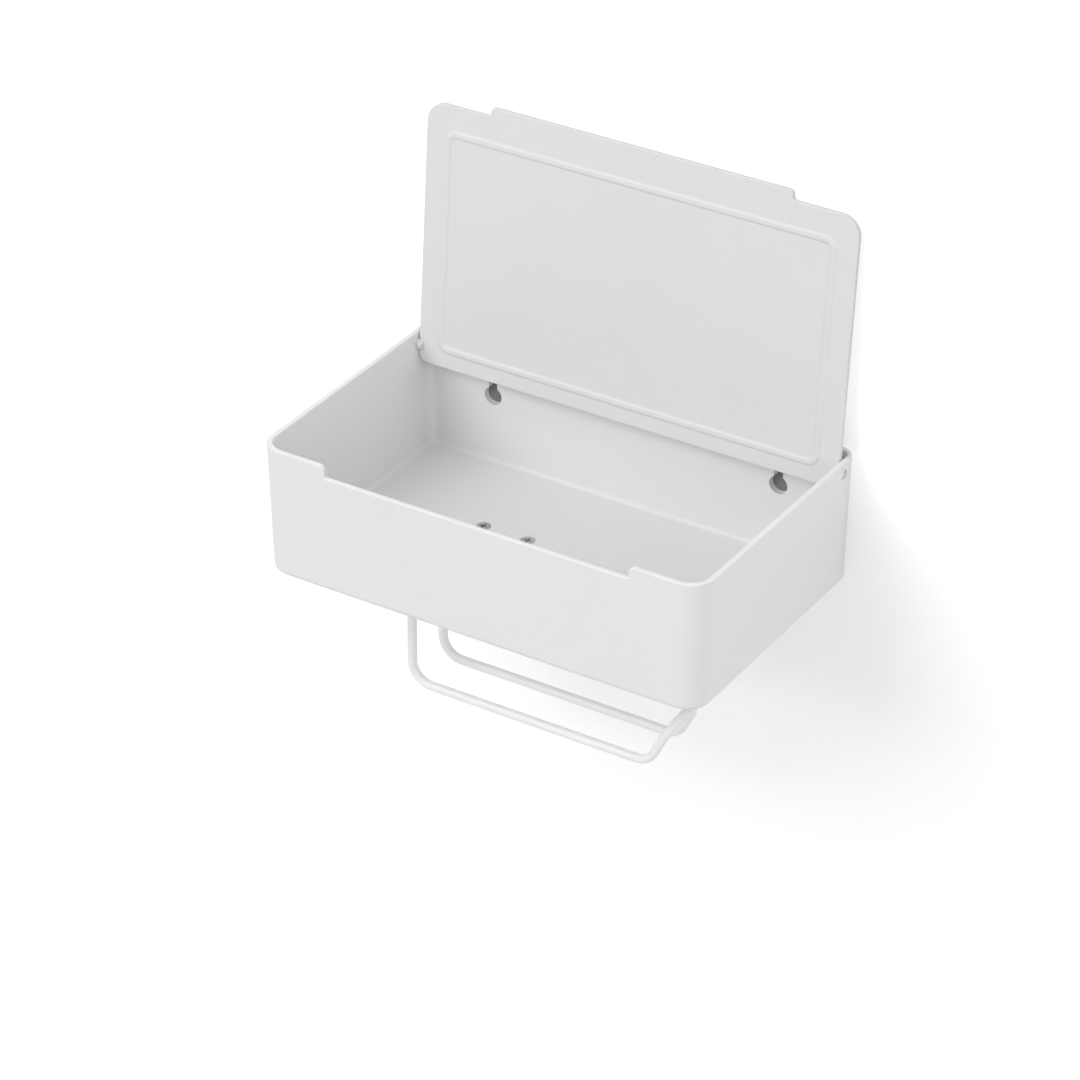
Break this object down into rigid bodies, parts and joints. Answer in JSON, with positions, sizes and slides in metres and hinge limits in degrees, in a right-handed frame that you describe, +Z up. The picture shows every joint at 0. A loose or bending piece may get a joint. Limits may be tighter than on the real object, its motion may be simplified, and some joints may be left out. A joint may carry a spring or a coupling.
{
  "type": "toilet roll holder",
  "caption": "Wall-hung toilet roll holder: a rectangular tray with a hinged lid that leans open on the wall, and a bent wire roll arm under it.",
  "frame": {"origin": "on the back plane, midway between the two keyhole entries of the back wall", "axes": "+X right as seen from the front, +Y out of the back into the wall, +Z up"},
  "size_m": [0.21, 0.128, 0.2363],
  "materials": {
    "tray": "fine matte white",
    "lid": "fine matte white",
    "roll_arm": "satin white powder coat",
    "arm_clamp": "fine matte white",
    "clamp_screws": "plain zinc-plated steel"
  },
  "bodies": {
    "holder": {"tray": "tray", "roll_arm": "roll_arm", "arm_clamp": "arm_clamp", "clamp_screws": "clamp_screws"},
    "lid": {"lid": "lid"}
  },
  "joints": [
    {"name": "lid_hinge", "type": "hinge", "parent": "holder", "child": "lid", "pos_m": [0, -0.0117, 0.0202], "axis": [1, 0, 0], "range_deg": [0, 94.4]}
  ]
}
